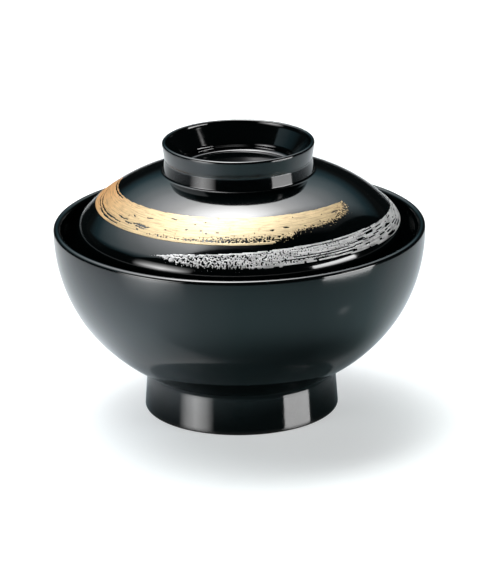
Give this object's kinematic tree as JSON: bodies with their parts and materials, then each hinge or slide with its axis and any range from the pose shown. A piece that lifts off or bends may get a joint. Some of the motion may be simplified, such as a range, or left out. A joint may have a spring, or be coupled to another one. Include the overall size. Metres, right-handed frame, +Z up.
{
  "type": "lidded rice bowl",
  "caption": "Round black lacquer rice bowl on a turned foot, with a domed lid that sits inside its mouth, a grip ring on the lid and brushed gold and silver crescents.",
  "frame": {"origin": "centre of the foot's underside, on the surface that the bowl stands on", "axes": "+Z up along the axis of the bowl and its lid; -Y is the front, where the gold and the silver brushstrokes pass each other"},
  "size_m": [0.124, 0.124, 0.0921],
  "materials": {
    "black_lacquer_bowl": "polished black lacquer over a moulded body",
    "black_lacquer_lid": "polished black lacquer over a moulded body",
    "gold_lacquer": "dry-brushed gold metal lacquer, satin",
    "silver_lacquer": "dry-brushed silver metal lacquer, satin"
  },
  "bodies": {
    "bowl_body": {"bowl": "black_lacquer_bowl"},
    "lid_body": {"lid": "black_lacquer_lid", "gold_brushstroke": "gold_lacquer", "silver_brushstroke": "silver_lacquer"}
  },
  "joints": [
    {"name": "lid_lift", "type": "slide", "parent": "bowl_body", "child": "lid_body", "axis": [0, 0, 1], "range_m": [0, 0.1]}
  ]
}
